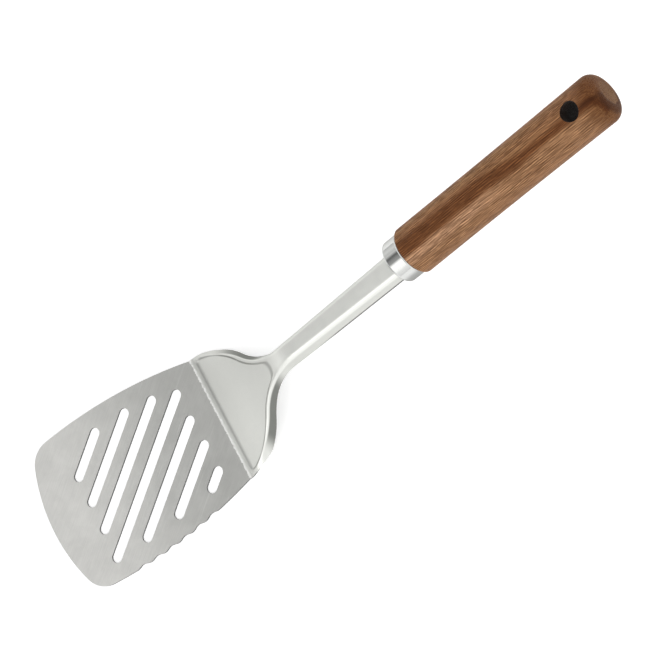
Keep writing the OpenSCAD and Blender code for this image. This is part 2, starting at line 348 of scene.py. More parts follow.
def sectionStops(x):  # places across the sheet where the columns of the grid change their spacing
    arc, crease = foldAt(x)[2:]
    creased = min(crease, sheetHalf(max(x, 0.0), rimWidth(x) + panel["wall"]))
    pastCorner = ease((x - sheetGrid["cornerFrom"]) / sheetGrid["cornerOver"])
    margin = sheetGrid["creaseMargin"] + sheetGrid["cornerMargin"] * panel["cornerRadius"] * (1 - pastCorner)
    inside = max(creased - margin, sheetGrid["leastPanel"] * crease)
    outside = max(crease + arc + sheetGrid["foldMargin"], crease + sheetGrid["leastFlange"] * flangeWidth(x))
    return [0.0, inside, outside, crease + flangeWidth(x)]


def stepsBetween(start, end, count):  # without the start
    return [start + (end - start) * (i + 1) / count for i in range(count)]


def buildSheet():
    rows = [sheetGrid["rows"][0][0]]
    for start, end, count in sheetGrid["rows"]:
        rows += stepsBetween(start, end, count)
    halfColumns = sum(sheetGrid["columns"])
    deselectAll()
    bpy.ops.mesh.primitive_grid_add(x_subdivisions=len(rows) - 1, y_subdivisions=2 * halfColumns, size=2)
    piece = namePiece("pressedSheet")
    lines = []
    for x in rows:
        stops = sectionStops(x)
        across = [0.0]
        for start, end, count in zip(stops, stops[1:], sheetGrid["columns"]):
            across += stepsBetween(start, end, count)
        lines.append(across)
    for vertex in piece.data.vertices:
        row = round((vertex.co.x + 1) / 2 * (len(rows) - 1))
        column = round(vertex.co.y * halfColumns)
        along = copysign(lines[row][abs(column)], column)
        vertex.co = sheetPoint(rows[row], along)

    # The flat blade is one face that shares the grid's first row
    frontRow = [sheetPoint(rows[0], copysign(lines[0][abs(k)], k))
                for k in range(-halfColumns, halfColumns + 1)]
    sideXs = stepsBetween(rows[0], sideEnd, sheetGrid["sideSteps"])[:-1]
    plain = [(x, bladeSide(x)) for x in sideXs]
    wavy = [(x, -min(bladeSide(x), sheet["serratedHalf"]) + waveHollow(x)) for x in reversed(sideXs)]
    corner = arcPoints(cornerCentre, sheet["cornerRadius"], sideAngle, cornerAngle, sheetGrid["cornerSteps"])
    tip = arcPoints(tipCentre, sheet["tipRadius"], cornerAngle, 2 * pi - cornerAngle,
                    sheetGrid["tipSteps"])[1:-1]
    otherCorner = [(x, -y) for x, y in reversed(corner)]
    top = sheet["thickness"]
    outline = frontRow + [Vector((bendX + x, y, top)) for x, y in plain + corner + tip + otherCorner + wavy]
    blade = filledOutline("bladeFace", outline)
    makeActive(piece, blade)
    bpy.ops.object.join()
    mergeDoubles(piece, sheetGrid["mergeDistance"])
    if sum(face.normal.z * face.area for face in piece.data.polygons) < 0:
        piece.data.flip_normals()
    for _ in range(2):  # one for the faces and one for the cut edges
        piece.data.materials.append(None)
    useModifier(piece, "SOLIDIFY", thickness=sheet["thickness"], offset=-1, use_even_offset=True,
                use_quality_normals=True, material_offset_rim=1)
    for k, (length, middle) in enumerate(zip(sheet["slotLengths"], sheet["slotMiddles"])):
        cutWith(piece, slotCutter(length, middle, sheet["slotFirst"] - k * sheet["slotPitch"]))
    smoothPiece(piece, sheet["edgeRounding"])
    markSheet(piece)
    return piece


sheetMarks = {
    "cutLean": 0.6,  # faces of the blade whose normal has less height are cut edges
    # soft steps, as their start and their span
    "wall": (0.0010, 0.0010),  # depth under the upper face
    "hem": (-0.0012, 0.0004),  # depth past the flange's lower edge
    "hemBehind": (0.070, 0.015),
    "onShaft": (0.042, 0.008),
    "plainFold": (0.0, 0.0006),  # depth under the upper face, on the plain edge's side
    "serratedFold": (0.00004, 0.0003),
    "serratedFoldBehind": (0.0, 0.008),
    "serratedFoldShares": (0.25, 0.25),  # everywhere, and more on the shaft
    "frontWidth": 0.0021,  # of the band in front of the panel, each way
    "frontEnds": 0.0015,
}


def softStep(value, name):
    start, span = sheetMarks[name]
    return ease((value - start) / span)


def markSheet(piece):  # cut edges get a material, and what else the materials need goes into attributes
    for face in piece.data.polygons:
        if face.center.x < bendX and abs(face.normal.z) < sheetMarks["cutLean"]:
            face.material_index = 1
    marks = {name: [] for name in ("foldedWall", "panelCrease", "lowerHem", "foldShade", "frontShade")}
    for vertex in piece.data.vertices:
        x, y = vertex.co.x - bendX, vertex.co.y
        behind = max(x, 0.0)
        drop = topHeight(x) - vertex.co.z
        depth = panelDepth(x, y) if x > 0 else 0.0
        folded = drop - panel["depth"] * depth / cos(topSlope(x))
        marks["foldedWall"].append(softStep(drop, "wall") if x > 0 else 0.0)
        marks["panelCrease"].append(4 * depth * (1 - depth))
        angle, radius, arc = foldAt(behind)[:3]
        whole = radius * (1 - cos(angle)) + (flangeWidth(x) - arc) * sin(angle)
        marks["lowerHem"].append(softStep(drop - whole, "hem") * softStep(x, "hemBehind"))
        onShaft = softStep(x, "onShaft")
        # where the folds get painted shade
        if y > 0:
            marks["foldShade"].append(softStep(folded, "plainFold") * onShaft)
        else:
            everywhere, more = sheetMarks["serratedFoldShares"]
            marks["foldShade"].append(softStep(folded, "serratedFold") * (everywhere + more * onShaft)
                                     * softStep(x, "serratedFoldBehind"))
        fromRim = sheetHalf(behind, rimWidth(x)) - abs(y)
        marks["frontShade"].append(ease(1 - abs(x - panel["front"]) / sheetMarks["frontWidth"])
                                   * ease(fromRim / sheetMarks["frontEnds"] + 1))
    for name, values in marks.items():
        piece.data.attributes.new(name, "FLOAT", "POINT").data.foreach_set("value", values)


def slotCutter(length, middle, side):
    deselectAll()
    radius = sheet["slotWidth"] / 2
    bpy.ops.mesh.primitive_cylinder_add(vertices=sheet["slotSteps"], radius=radius,
                                        depth=sheet["cutterDepth"])
    cutter = namePiece("slotCutter")
    for vertex in cutter.data.vertices:  # the round ends move apart
        vertex.co.x += copysign(length / 2 - radius, vertex.co.x + 1e-9)
    cutter.data.transform(Matrix.Translation((bendX, 0, sheet["thickness"] / 2))
                          @ Matrix.Rotation(sheet["slotAngle"], 4, "Z")
                          @ Matrix.Translation((middle, side, 0)))
    return cutter


pressedSheet = buildSheet()
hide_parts("blade_and_shaft")
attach(pressedSheet, "root")
print("pressed sheet:", len(pressedSheet.data.polygons), "faces")


# Pieces on the handle's axis are drawn along +Z, from the front of the wood, and then laid in place

gripTurn = Matrix.Rotation(pi / 2 - grip["rise"], 4, "Y")
gripPlace = Matrix.Translation((bendX + grip["front"], 0, grip["height"])) @ gripTurn


def layOnAxis(piece):
    piece.data.transform(gripPlace)
    piece.data.update()


turning = {"steps": 128, "mergeDistance": 0.00001}  # of the ferrule and the wood


def turnOutline(name, outline):  # outline is a closed loop of (radius, along)
    deselectAll()
    bpy.ops.mesh.primitive_circle_add(vertices=len(outline), radius=1, fill_type="NOTHING")
    piece = namePiece(name)
    for vertex, (radius, along) in zip(piece.data.vertices, outline):
        vertex.co = (radius, 0, along)
    useModifier(piece, "SCREW", steps=turning["steps"], render_steps=turning["steps"],
                use_merge_vertices=True, merge_threshold=turning["mergeDistance"])
    mergeDoubles(piece, turning["mergeDistance"])
    return piece


# The ferrule: a drawn cup with a rounded front rim, an opening for the shaft and a lip against the wood

ferrule = {
    "radius": 0.0108,
    "length": 0.0093,
    "wall": 0.0008,
    "rounding": 0.0015,
    "lipLength": 0.0008,
    "lipHeight": 0.00035,
    "lipRounding": 0.0002,
    "bandLength": 0.0016,  # the even band in front of the lip
    "gap": 0.0001,  # round the shaft
    "roundingSteps": 12,
    "lipSteps": 4,
    "openingSteps": 10,
}


def buildFerrule():
    r, wall, front, rounding = ferrule["radius"], ferrule["wall"], -ferrule["length"], ferrule["rounding"]
    lip, lipFrom, small = r + ferrule["lipHeight"], -ferrule["lipLength"], ferrule["lipRounding"]
    steps, lipSteps = ferrule["roundingSteps"], ferrule["lipSteps"]
    outline = [(0, front), (0.5 * (r - rounding), front)]
    outline += arcPoints((r - rounding, front + rounding), rounding, -pi / 2, 0, steps)
    outline += [(r, lipFrom - ferrule["bandLength"]), (r, lipFrom - small)]
    outline += arcPoints((r + small, lipFrom), small, pi, pi / 2, lipSteps - 1)[1:-1]
    outline += arcPoints((lip - small, lipFrom + 2 * small), small, pi / 2, 0, lipSteps)
    outline += arcPoints((lip - small, -small), small, 0, pi / 2, lipSteps)
    outline += [(r - wall, 0)]
    outline += arcPoints((r - rounding, front + rounding), rounding - wall, 0, -pi / 2, steps // 2)
    outline += [(0, front + wall)]
    piece = turnOutline("ferruleCup", outline)
    cutWith(piece, shaftOpening(front, wall))
    layOnAxis(piece)
    smoothPiece(piece)
    return piece


def shaftOpening(front, wall):  # a block with the shaft's section and a gap round it
    gap = ferrule["gap"]
    half = sheet["neckHalf"] + (grip["front"] - neckX) * sheet["shaftFlare"] + gap
    high = grip["shaftTop"] + gap
    low = flangeWidth(grip["front"]) - sheet["foldRadius"] * (sheet["foldAngle"] - 1) + gap - high
    deselectAll()
    bpy.ops.mesh.primitive_cube_add(size=1)
    cutter = namePiece("shaftOpening")
    cutter.data.transform(Matrix.Translation(((low - high) / 2, 0, front + wall / 2))
                          @ Matrix.Diagonal((high + low, 2 * half, 3 * wall, 1)))
    bpy.ops.object.mode_set(mode="EDIT")
    bpy.ops.mesh.select_all(action="DESELECT")
    bpy.ops.object.mode_set(mode="OBJECT")
    for edge in cutter.data.edges:  # the two upper ones along the axis are rounded like the folds
        ends = [cutter.data.vertices[i].co for i in edge.vertices]
        edge.select = all(co.x < 0 for co in ends) and abs(ends[0].z - ends[1].z) > wall
    bpy.ops.object.mode_set(mode="EDIT")
    bpy.ops.mesh.bevel(offset=sheet["foldRadius"], segments=ferrule["openingSteps"])
    bpy.ops.object.mode_set(mode="OBJECT")
    return cutter


ferruleCup = buildFerrule()
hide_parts("ferrule")
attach(ferruleCup, "root")
print("ferrule:", len(ferruleCup.data.polygons), "faces")


# The turned wooden handle with its tenon, bore and hanging hole

handle = {
    "length": 0.1188,
    "radius": 0.01195,
    "waist": 0.0002,
    "frontRounding": 0.0013,
    "buttRounding": 0.0055,
    "tenon": 0.004,
    "bore": 0.005,
    "boreDepth": 0.068,
    "holeRadius": 0.0045,
    "holeAt": 0.1043,
    "holeSteps": 64,
    "edgeRounding": 0.00025,
    "sharpAngle": 40,
    "steps": 40,  # along the body, front rounding and butt rounding
    "frontSteps": 10,
    "buttSteps": 24,
}


def handleRadius(along):
    start, end = handle["frontRounding"], handle["length"] - handle["buttRounding"]
    share = min(1.0, max(0.0, (along - start) / (end - start)))
    return handle["radius"] - handle["waist"] * sin(pi * share)


def buildHandle():
    r, length = handle["radius"], handle["length"]
    front, butt = handle["frontRounding"], handle["buttRounding"]
    tenonRadius = ferrule["radius"] - ferrule["wall"]
    outline = [(handle["bore"], -handle["tenon"]), (tenonRadius, -handle["tenon"]), (tenonRadius, 0)]
    outline += arcPoints((r - front, front), front, -pi / 2, 0, handle["frontSteps"])
    bodyEnd = length - butt
    outline += [(handleRadius(along), along) for along in stepsBetween(front, bodyEnd, handle["steps"])[:-1]]
    outline += arcPoints((r - butt, bodyEnd), butt, 0, pi / 2, handle["buttSteps"])
    outline += [((r - butt) * 0.5, length), (0, length), (0, handle["boreDepth"]),
                (handle["bore"], handle["boreDepth"])]
    piece = turnOutline("woodHandle", outline)
    deselectAll()
    bpy.ops.mesh.primitive_cylinder_add(vertices=handle["holeSteps"], radius=handle["holeRadius"],
                                        depth=4 * r)
    cutter = namePiece("hangingHoleCutter")
    cutter.data.transform(Matrix.Translation((0, 0, handle["holeAt"]))
                          @ Matrix.Rotation(pi / 2, 4, "Y"))
    cutWith(piece, cutter)
    layOnAxis(piece)
    smoothPiece(piece, handle["edgeRounding"], handle["sharpAngle"])
    return piece


woodHandle = buildHandle()
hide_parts("handle")
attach(woodHandle, "root")
print("handle:", len(woodHandle.data.polygons), "faces")


# Nodes for the materials

class Signal:  # what a node puts out: a value that is calculated with, a colour or a vector
    def __init__(self, tree, socket):
        self.tree = tree
        self.socket = socket

    def calc(self, operation, *others):
        return addNode(self.tree, "Math", dict(enumerate((self, *others))), operation=operation)

    def __add__(self, other):
        return self.calc("ADD", other)

    def __sub__(self, other):
        return self.calc("SUBTRACT", other)

    def __mul__(self, other):
        return self.calc("MULTIPLY", other)

    def __truediv__(self, other):
        return self.calc("DIVIDE", other)

    def orMore(self, other):
        return self.calc("MAXIMUM", other)

    def hypot(self, other):
        return (self * self + other * other).calc("SQRT")

    def spread(self, low, high, outLow=0.0, outHigh=1.0):  # maps low..high to outLow..outHigh, softly
        inputs = {"Value": self, "From Min": low, "From Max": high, "To Min": outLow, "To Max": outHigh}
        return addNode(self.tree, "MapRange", inputs, interpolation_type="SMOOTHSTEP")

    def window(self, start, full, fading, end):  # rises from 0 to 1 and falls back, softly
        return self.spread(start, full) * self.spread(end, fading)

    def around(self, amount):  # 1 plus or minus the amount, for a value that runs from 0 to 1
        return self.calc("MULTIPLY_ADD", 2 * amount, 1 - amount)

    def centred(self, amount):  # the same round 0
        return self.calc("MULTIPLY_ADD", 2 * amount, -amount)

    def over(self, reach, least):
        return self * reach + least

    def dimTo(self, share):  # 1 where this mask is 0, and the share where it is 1
        return self.calc("MULTIPLY_ADD", share - 1, 1.0)

    def choose(self, first, second):  # between two values
        return addNode(self.tree, "Mix", {0: self, 2: first, 3: second})

    def blend(self, first, second):  # between two colours
        return mixColors(self.tree, self, first, second, "MIX")

    def tint(self, color):  # multiplies the colour by this value
        grey = addNode(self.tree, "CombineColor", {0: self, 1: self, 2: self})
        return mixColors(self.tree, 1.0, color, grey, "MULTIPLY")

    def stain(self, color, tint):  # multiplies the colour by the tint where this mask is 1
        return self.blend(color, mixColors(self.tree, 1.0, color, tint, "MULTIPLY"))

    def ramp(self, stops):  # all places come first, then their colours
        color = addNode(self.tree, "ValToRGB", {0: self})
        elements = color.socket.node.color_ramp.elements
        for _ in stops[2:]:
            elements.new(0.5)
        for element, (place, _) in zip(elements, stops):
            element.position = place
        for element, (_, stopColor) in zip(elements, stops):
            element.color = (*stopColor, 1)
        return color

    def outputs(self):  # of the same node
        return [Signal(self.tree, socket) for socket in self.socket.node.outputs]

    def split(self):
        return addNode(self.tree, "SeparateXYZ", {0: self}).outputs()

    def noise(self, scale=(1, 1, 1), detail=2.0, roughness=0.5, distortion=0.0):
        scaled = addNode(self.tree, "VectorMath", {0: self, 1: scale}, operation="MULTIPLY")
        return addNode(self.tree, "TexNoise", {"Vector": scaled, "Scale": 1.0, "Detail": detail,
                                               "Roughness": roughness, "Distortion": distortion})

    def lines(self, length, width):  # fine lines, and the scratches among them
        inputs = {"Vector": self, "Length": length, "Width": width}
        return addNode(self.tree, "Group", inputs, node_tree=scratchGroup).outputs()

    def patches(self, size):
        return addNode(self.tree, "Group", {"Vector": self, "Size": size}, node_tree=patchGroup)


def feed(tree, socket, value):  # links a signal to the socket, or sets the socket to a value
    if isinstance(value, Signal):
        tree.links.new(value.socket, socket)
    else:
        socket.default_value = (*value, 1) if socket.type == "RGBA" else value


def addNode(tree, kind, inputs=None, output=0, **settings):
    node = tree.nodes.new("ShaderNode" + kind)
    for key, value in settings.items():
        setattr(node, key, value)
    for key, value in (inputs or {}).items():
        feed(tree, node.inputs[key], value)
    return Signal(tree, node.outputs[output])


def mixColors(tree, share, first, second, kind):
    return addNode(tree, "Mix", {0: share, 6: first, 7: second}, 2, data_type="RGBA", blend_type=kind)


def fromScreen(color):  # screen values of 0 to 255, as the linear colour that a shader takes
    shares = [value / 255 for value in color]
    return [share / 12.92 if share < 0.0404 else ((share + 0.055) / 1.055) ** 2.4 for share in shares]


def newMaterial(name, **sockets):
    material = bpy.data.materials.new(name)
    material.use_nodes = True
    setSurface(material, **sockets)
    return material, material.node_tree


def setSurface(material, **sockets):
    tree = material.node_tree
    for name, value in sockets.items():
        feed(tree, tree.nodes["Principled BSDF"].inputs[name.replace("_", " ")], value)
    return material


def finishMaterial(material, color, roughness, relief, reliefHeight):
    inputs = {"Height": relief, "Distance": reliefHeight, "Strength": 1.0}
    bump = addNode(material.node_tree, "Bump", inputs)
    return setSurface(material, Base_Color=color, Roughness=roughness, Normal=bump)


def wear(piece, material):
    piece.data.materials.clear()
    piece.data.materials.append(material)


def inMillimetres(tree, origin, turn=(0, 0, 0)):  # the surface's own place, in a turned frame
    place = addNode(tree, "TexCoord", output="Object")
    inputs = {"Vector": place, "Location": origin, "Rotation": turn, "Scale": (0.001, 0.001, 0.001)}
    return addNode(tree, "Mapping", inputs, vector_type="TEXTURE")


def alongGrip(tree):  # X runs along the handle from the front of the wood, and Z upwards
    return inMillimetres(tree, gripPlace.translation, (0, -grip["rise"], 0))


def attributeOf(tree, name):
    return addNode(tree, "Attribute", output="Fac", attribute_name=name)


def newGroup(name, inputs, outputs):
    group = bpy.data.node_groups.new(name, "ShaderNodeTree")
    for label, kind in inputs.items():
        group.interface.new_socket(label, in_out="INPUT", socket_type="NodeSocket" + kind)
    for label in outputs:
        group.interface.new_socket(label, in_out="OUTPUT", socket_type="NodeSocketFloat")
    ins = [Signal(group, socket) for socket in group.nodes.new("NodeGroupInput").outputs[:len(inputs)]]
    return group, ins, group.nodes.new("NodeGroupOutput").inputs


scratches = {
    "lines": ((1, 1, 1), 3.0, 0.65),
    "rare": ((0.6, 0.45, 0.45), 1.0),
    "rareMask": (0.66, 0.78),
}
patchiness = {
    "noise": ((1, 1, 1), 3.0, 0.55, 0.6),
    "mask": (0.25, 0.75),
}


def buildScratchGroup():  # fine parallel lines along the vector's X, with a few deeper scratches
    group, (vector, length, width), outs = newGroup(
        "fineScratches", {"Vector": "Vector", "Length": "Float", "Width": "Float"}, ("Lines", "Scratches"))
    x, y, z = vector.split()
    stretched = addNode(group, "CombineXYZ", {0: x / length, 1: y / width, 2: z / width})
    feed(group, outs["Lines"], stretched.noise(*scratches["lines"]))
    feed(group, outs["Scratches"], stretched.noise(*scratches["rare"]).spread(*scratches["rareMask"]))
    return group


def buildPatchGroup():  # soft uneven areas left by grinding, polishing and handling
    group, (vector, size), outs = newGroup(
        "softPatches", {"Vector": "Vector", "Size": "Float"}, ("Patches",))
    scale = addNode(group, "Math", {0: 1.0, 1: size}, operation="DIVIDE")
    scaled = addNode(group, "VectorMath", {0: vector, "Scale": scale}, operation="SCALE")
    feed(group, outs["Patches"], scaled.noise(*patchiness["noise"]).spread(*patchiness["mask"]))
    return group


scratchGroup = buildScratchGroup()
patchGroup = buildPatchGroup()


# The looks are in millimetres. A noise is its scale by axis, detail, roughness and distortion. A mask runs
# from 0 to 1 between its first two numbers, and one of four runs from its third to its fourth there.
# A window rises between its first two numbers and falls between its last two.

edgeTint = (0.55, 0.55, 0.54)  # of bright steel at grazing angles

cutSteel = {
    # dark: partly the rough cut edge, partly painted shade for the dark reflections in it
    "color": (0.105, 0.105, 0.10),
    "grains": ((1.8, 1.8, 0.6), 3.0, 0.6),
    "grainShare": 0.3,
    "roughness": (0.2, 0.38),  # what the grains add, and the least
    "relief": 0.00003,
}


def makeCutEdge():
    material, tree = newMaterial("cutEdge", Metallic=1.0)
    grains = inMillimetres(tree, (bendX, 0, 0)).noise(*cutSteel["grains"])
    rough = grains.over(*cutSteel["roughness"])
    color = grains.around(cutSteel["grainShare"]).tint(cutSteel["color"])
    return finishMaterial(material, color, rough, grains, cutSteel["relief"])


steel = {  # x is behind the bend, y is away from the serrated edge
    "groundColor": (0.590, 0.592, 0.568),  # blade, near the bend
    # painted light: the blade is lighter towards its tip
    "paintedTipLightColor": (0.822, 0.818, 0.788),
    "tipMask": (-10.0, -92.0),
    "groundLines": (14.0, 0.45),  # length and width
    "groundLineShare": 0.10,
    "patchSize": 16.0,
    "patchShare": 0.045,
    "smudgeSize": 5.0,
    "smudgeShare": 0.02,
    "scratchShare": 0.15,
    "groundRoughness": (0.10, 0.38),  # what the lines add, and the least
    "satinColor": (0.835, 0.842, 0.802),  # shoulder and shaft
    "satinLines": (9.0, 0.22),
    "satinLineShare": 0.03,
    "satinSmudgeShare": 0.012,
    # painted light and shade by place, along the satin sheet and across it: from, to, and the brightness at
    # both
    "shoulderLight": (12.0, 38.0, 1.02, 0.90),
    "shaftLight": (43.0, 52.0, 1.0, 1.22),
    "sideLight": (-24.0, 28.0, 1.06, 0.88),
    "satinRoughness": (0.04, 0.38),  # and what the smudges add
    "raggedness": 1.1,  # each way, of the line where the ground finish stops
    "raggedNoise": ((0.05, 0.45, 0.05), 5.0, 0.75),
    "stopMask": (-0.12, 0.12),
    "scratchAndHighlightColor": (0.93, 0.93, 0.91),  # painted highlight on that line, also the colour of the scratches
    "highlightNoise": ((0.05, 0.28, 0.05), 3.0, 0.6),
    "highlightWidths": (0.3, 0.7, 0.22, 0.8),
    "highlightMask": (1.0, 0.4),  # by shares of its width
    "gapNoise": ((0.05, 0.8, 0.05), 2.0),
    "gapMask": (0.3, 0.55, 0.35, 1.0),
    "highlightRoughness": 0.3,
    "highlightMetallic": 0.45,
    "paintedWallReflection": (0.20, 0.205, 0.19),  # painted dark reflection on the folded walls of the shoulder
    "wallWindow": (15.0, 24.0, 40.0, 49.0),
    "plainSide": (-1.0, 1.0),
    "plainWallStart": (14.0, 31.0, 0.1, 0.95),
    "plainWallEnd": (43.0, 35.0),
    "shaftWallShare": 0.86,  # painted shade: brightness of the shaft's walls, as a share of its top's
    "foldShadeShare": 0.74,  # painted shade on the folds, as a share, which dims their highlight
    "creaseShare": 0.68,  # painted shade in the creases round the panel
    "frontShare": 0.84,  # painted shade in the soft band in front of it
    "scratchDepth": 0.4,  # against the lines
    "relief": 0.00002,
}


def makeBrushedSheet():
    material, tree = newMaterial("brushedSheet", Metallic=1.0, Specular_Tint=edgeTint)
    bend = (bendX, 0, 0)
    place = inMillimetres(tree, bend)
    x, y, _ = place.split()
    slotWise = inMillimetres(tree, bend, (0, 0, sheet["slotAngle"]))
    shaftWise = inMillimetres(tree, bend, (0, -grip["rise"], 0))
    groundLines, scratched = slotWise.lines(*steel["groundLines"])
    satinLines, _ = shaftWise.lines(*steel["satinLines"])
    patches = slotWise.patches(steel["patchSize"])
    smudges = place.patches(steel["smudgeSize"])

    # The ground finish stops on a ragged line along the bend, with a painted highlight on it
    fromLine = x - place.noise(*steel["raggedNoise"]).centred(steel["raggedness"])
    satin = fromLine.spread(*steel["stopMask"])
    width = place.noise(*steel["highlightNoise"]).spread(*steel["highlightWidths"])
    highlightLine = (fromLine.calc("ABSOLUTE") / width).spread(*steel["highlightMask"])
    highlightLine *= place.noise(*steel["gapNoise"]).spread(*steel["gapMask"])

    # painted light, lighter towards the tip
    ground = x.spread(*steel["tipMask"]).blend(steel["groundColor"], steel["paintedTipLightColor"])
    light = groundLines.around(steel["groundLineShare"]) * patches.around(steel["patchShare"])
    ground = (light * smudges.around(steel["smudgeShare"])).tint(ground)
    ground = (scratched * steel["scratchShare"]).blend(ground, steel["scratchAndHighlightColor"])
    light = satinLines.around(steel["satinLineShare"]) * smudges.around(steel["satinSmudgeShare"])
    # painted light and shade along the shoulder and shaft, and across the sheet
    light *= x.spread(*steel["shoulderLight"]) * x.spread(*steel["shaftLight"])
    plain = (light * y.spread(*steel["sideLight"])).tint(steel["satinColor"])
    # painted highlight on the ragged edge of the ground finish
    color = highlightLine.blend(satin.blend(ground, plain), steel["scratchAndHighlightColor"])

    # Painted reflection: the shoulder's walls are darkened where they would mirror the dark side of the
    # room, and less on the plain edge's side
    wall = attributeOf(tree, "foldedWall")
    plainShare = x.spread(*steel["plainWallStart"]) * x.spread(*steel["plainWallEnd"])
    dark = wall * x.window(*steel["wallWindow"]) * y.spread(*steel["plainSide"]).choose(1.0, plainShare)
    # painted shade on the shaft's walls and on the folds
    light = wall.dimTo(steel["shaftWallShare"]) * attributeOf(tree, "foldShade").dimTo(steel["foldShadeShare"])
    color = dark.blend(light.tint(color), steel["paintedWallReflection"])
    # painted shade along the flange's lower edge, in the cut edge's dark colour
    color = attributeOf(tree, "lowerHem").blend(color, cutSteel["color"])
    # painted shade in the creases round the panel and in the band in front of it
    light = attributeOf(tree, "panelCrease").dimTo(steel["creaseShare"])
    light *= attributeOf(tree, "frontShade").dimTo(steel["frontShare"])

    rough = satin.choose(groundLines.over(*steel["groundRoughness"]), smudges.over(*steel["satinRoughness"]))
    rough = highlightLine.choose(rough, steel["highlightRoughness"])
    # less metal where the painted highlight is, so it scatters white
    setSurface(material, Metallic=highlightLine.dimTo(steel["highlightMetallic"]))
    relief = satin.choose(groundLines, satinLines) - scratched * steel["scratchDepth"]
    return finishMaterial(material, light.tint(color), rough, relief, steel["relief"])


chrome = {
    "color": (0.63, 0.635, 0.62),
    "turnedNoise": ((7.0, 0.12, 0.12), 2.0),  # rings left by turning
    "turnedShare": 0.02,
    "smudgeSize": 3.5,
    "smudgeShare": 0.015,
    "lowLight": (5.8, 2.6, 1.0, 0.59),  # painted shade, darker below, by height over the axis
    "roughness": (0.03, 0.045),  # what the smudges add, and the least
    "turnedRoughness": 0.02,
    "relief": 0.000001,
}


def makePolishedFerrule():
    material, tree = newMaterial("polishedFerrule", Metallic=1.0, Specular_Tint=edgeTint)
    place = alongGrip(tree)
    turned = place.noise(*chrome["turnedNoise"])
    smudges = place.patches(chrome["smudgeSize"])
    light = turned.around(chrome["turnedShare"]) * smudges.around(chrome["smudgeShare"])
    # painted shade, darker below
    light *= place.split()[2].spread(*chrome["lowLight"])
    rough = smudges.over(*chrome["roughness"]) + turned * chrome["turnedRoughness"]
    return finishMaterial(material, light.tint(chrome["color"]), rough, turned, chrome["relief"])


rod = {
    "color": (0.50, 0.50, 0.49),
    "lines": (20.0, 0.25),
    "lineShare": 0.18,
    "stainSize": 6.0,
    "stainShare": 0.12,
    "roughness": (0.15, 0.36),  # what the stains add, and the least
    "relief": 0.00003,
}


def makeRod():
    material, tree = newMaterial("drawnRod", Metallic=1.0)
    place = alongGrip(tree)
    drawn, _ = place.lines(*rod["lines"])
    stains = place.patches(rod["stainSize"])
    color = (drawn.around(rod["lineShare"]) * stains.around(rod["stainShare"])).tint(rod["color"])
    return finishMaterial(material, color, stains.over(*rod["roughness"]), drawn, rod["relief"])


weld = {
    "heatColors": ((0.0, (0.30, 0.24, 0.20)), (0.45, (0.36, 0.35, 0.33)), (1.0, (0.30, 0.33, 0.42))),
    "stainSize": 2.5,
    "ripplePitch": 0.9,
    "rippleBow": 0.35,
    "rippleShare": 0.1,
    "roughness": (0.2, 0.34),  # what the stains add, and the least
    "relief": 0.00008,
}


def makeWeld():  # bowed ripples across the bead, and heat colours
    material, tree = newMaterial("weldBead", Metallic=1.0)
    place = alongGrip(tree)
    x, y, _ = place.split()
    ripples = ((x + y * y * weld["rippleBow"]) * (2 * pi / weld["ripplePitch"])).calc("SINE")
    stains = place.patches(weld["stainSize"])
    color = (ripples * weld["rippleShare"] + 1.0).tint(stains.ramp(weld["heatColors"]))
    return finishMaterial(material, color, stains.over(*weld["roughness"]), ripples, weld["relief"])


resin = {
    "clearColor": (196, 160, 96),
    "cloudColor": (222, 196, 140),
    "cloudSize": 4.0,
    "bubbleNoise": ((2.5, 2.5, 2.5), 1.0),
    "bubbleMask": (0.6, 0.7),
    "coat": 0.3,
    "roughness": (0.15, 0.3),  # what the clouds add, and the least
    "relief": 0.0001,
}


def makeResin():
    material, tree = newMaterial("handleResin", Coat_Weight=resin["coat"])
    place = alongGrip(tree)
    clouds = place.patches(resin["cloudSize"])
    bubbles = place.noise(*resin["bubbleNoise"]).spread(*resin["bubbleMask"])
    color = clouds.blend(fromScreen(resin["clearColor"]), fromScreen(resin["cloudColor"]))
    return finishMaterial(material, color, clouds.over(*resin["roughness"]), bubbles, resin["relief"])


